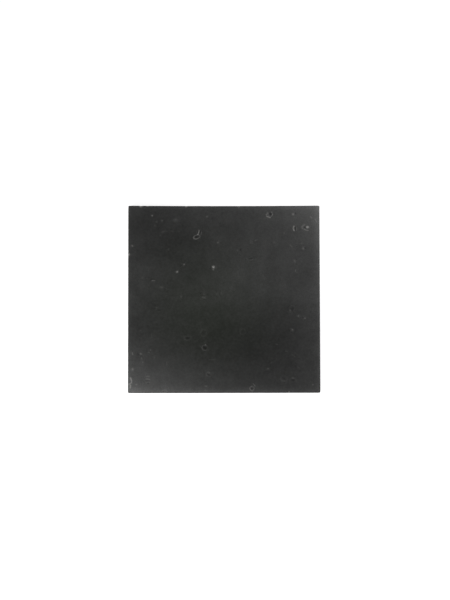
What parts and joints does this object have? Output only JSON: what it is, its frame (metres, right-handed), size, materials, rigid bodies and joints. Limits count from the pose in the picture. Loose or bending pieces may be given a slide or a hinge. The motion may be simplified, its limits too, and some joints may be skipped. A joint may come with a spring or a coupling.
{
  "type": "glazed ceramic tile",
  "caption": "Square near-black satin-glazed ceramic tile with softly eased edges, a rounded arris and a waffle key pressed into its back.",
  "frame": {"origin": "middle of the plane that the back rests on, under the centre of the face", "axes": "+Z out of the glazed face, +X across the slightly longer width, +Y along the depth, up in the picture"},
  "size_m": [0.101, 0.099, 0.008],
  "materials": {
    "black_glaze": "satin"
  },
  "bodies": {
    "root": {"tile": "black_glaze"}
  },
  "joints": []
}
